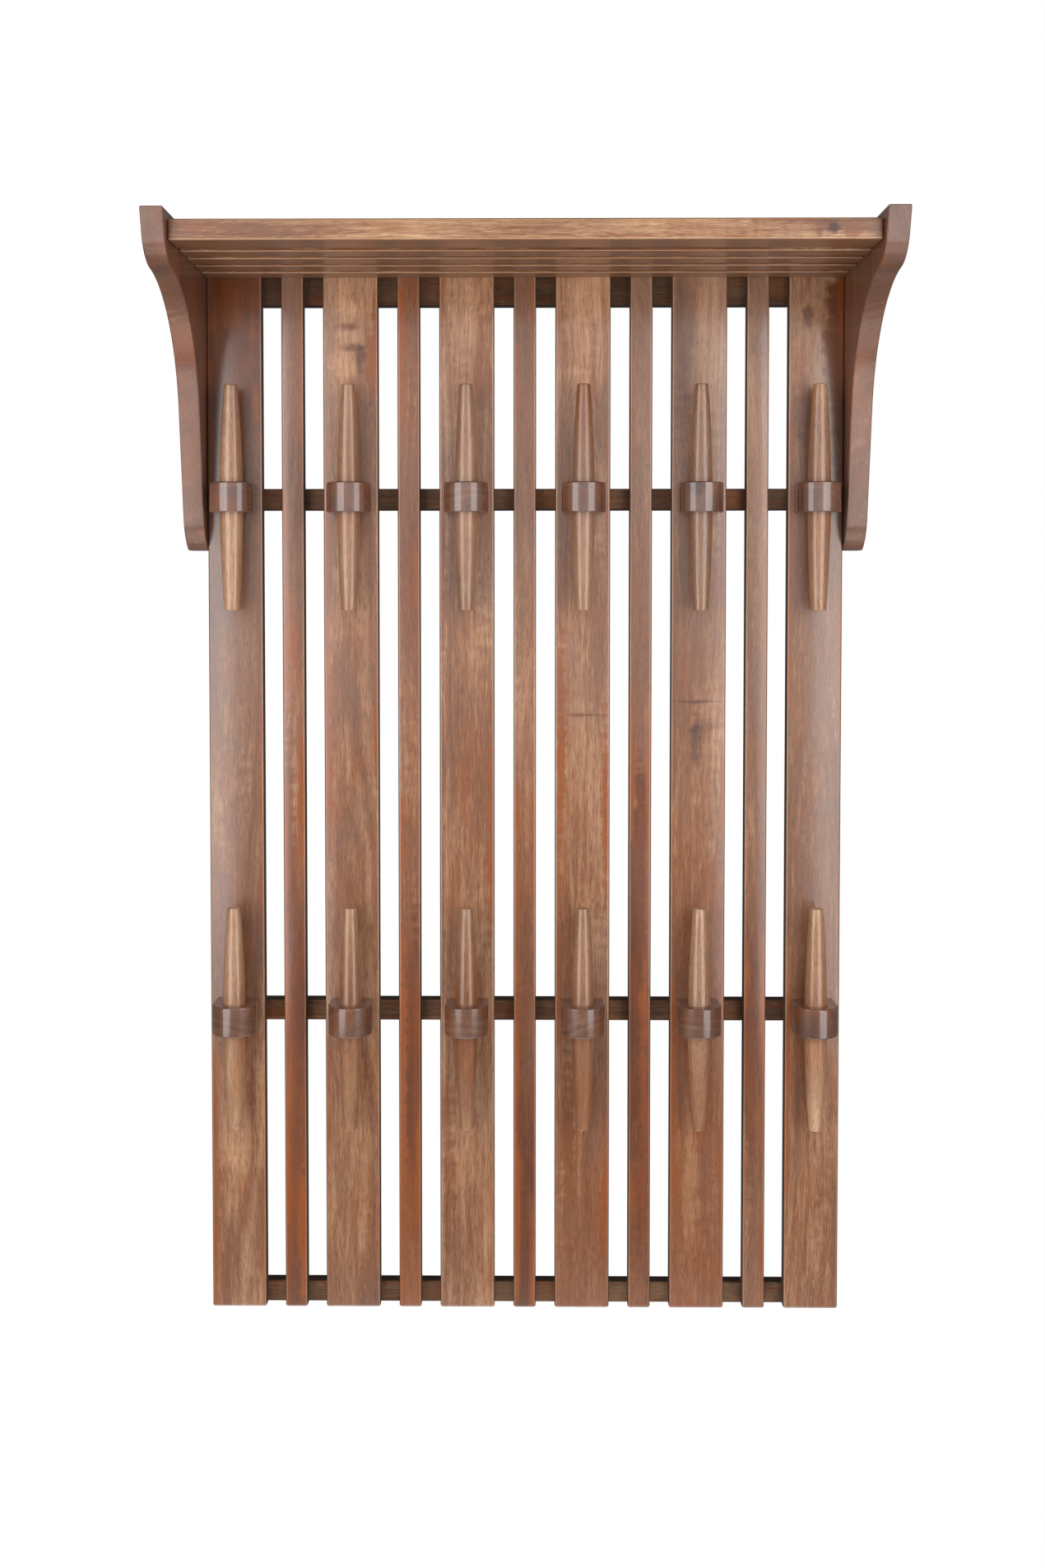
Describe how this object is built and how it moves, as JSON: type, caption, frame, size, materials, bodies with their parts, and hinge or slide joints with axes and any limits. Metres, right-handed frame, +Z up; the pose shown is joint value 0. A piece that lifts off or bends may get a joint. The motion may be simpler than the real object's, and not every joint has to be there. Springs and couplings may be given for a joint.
{
  "type": "wall coat rack",
  "caption": "Slatted wooden wall coat rack: upright slats on cross rails, rows of upright turned pegs in D-shaped blocks, and a slatted hat shelf between curved side brackets.",
  "frame": {"origin": "on the wall plane, midway between the entry holes of the two keyhole hanger plates in the top rail", "axes": "+X to the right for someone facing the rack, +Y into the wall, +Z up; the rack stands out to -Y"},
  "size_m": [0.75, 0.25, 1.183],
  "materials": {
    "slat_wood": "stained hardwood, satin lacquer",
    "frame_wood": "stained hardwood, satin lacquer",
    "block_wood": "stained hardwood, satin lacquer",
    "peg_wood": "stained turned hardwood, satin lacquer",
    "dowel_wood": "bare fluteless dowel",
    "screw_steel": "yellow zinc plated",
    "hanger_steel": "zinc plated"
  },
  "bodies": {
    "root": {"wide_slat_1": "slat_wood", "wide_slat_2": "slat_wood", "wide_slat_3": "slat_wood", "wide_slat_4": "slat_wood", "wide_slat_5": "slat_wood", "wide_slat_6": "slat_wood", "narrow_slat_1": "slat_wood", "narrow_slat_2": "slat_wood", "narrow_slat_3": "slat_wood", "narrow_slat_4": "slat_wood", "narrow_slat_5": "slat_wood", "top_rail": "frame_wood", "upper_hook_rail": "frame_wood", "lower_hook_rail": "frame_wood", "bottom_rail": "frame_wood", "left_bracket": "frame_wood", "right_bracket": "frame_wood", "shelf_front_rail": "frame_wood", "shelf_slat_1": "frame_wood", "shelf_slat_2": "frame_wood", "shelf_slat_3": "frame_wood", "shelf_slat_4": "frame_wood", "upper_block_1": "block_wood", "upper_block_2": "block_wood", "upper_block_3": "block_wood", "upper_block_4": "block_wood", "upper_block_5": "block_wood", "upper_block_6": "block_wood", "lower_block_1": "block_wood", "lower_block_2": "block_wood", "lower_block_3": "block_wood", "lower_block_4": "block_wood", "lower_block_5": "block_wood", "lower_block_6": "block_wood", "upper_peg_1": "peg_wood", "upper_peg_2": "peg_wood", "upper_peg_3": "peg_wood", "upper_peg_4": "peg_wood", "upper_peg_5": "peg_wood", "upper_peg_6": "peg_wood", "lower_peg_1": "peg_wood", "lower_peg_2": "peg_wood", "lower_peg_3": "peg_wood", "lower_peg_4": "peg_wood", "lower_peg_5": "peg_wood", "lower_peg_6": "peg_wood", "slat_screws": "screw_steel", "block_screws": "screw_steel", "hanger_screws": "screw_steel", "shelf_dowels": "dowel_wood", "bracket_dowels": "dowel_wood", "left_hanger_plate": "hanger_steel", "right_hanger_plate": "hanger_steel"}
  },
  "joints": []
}
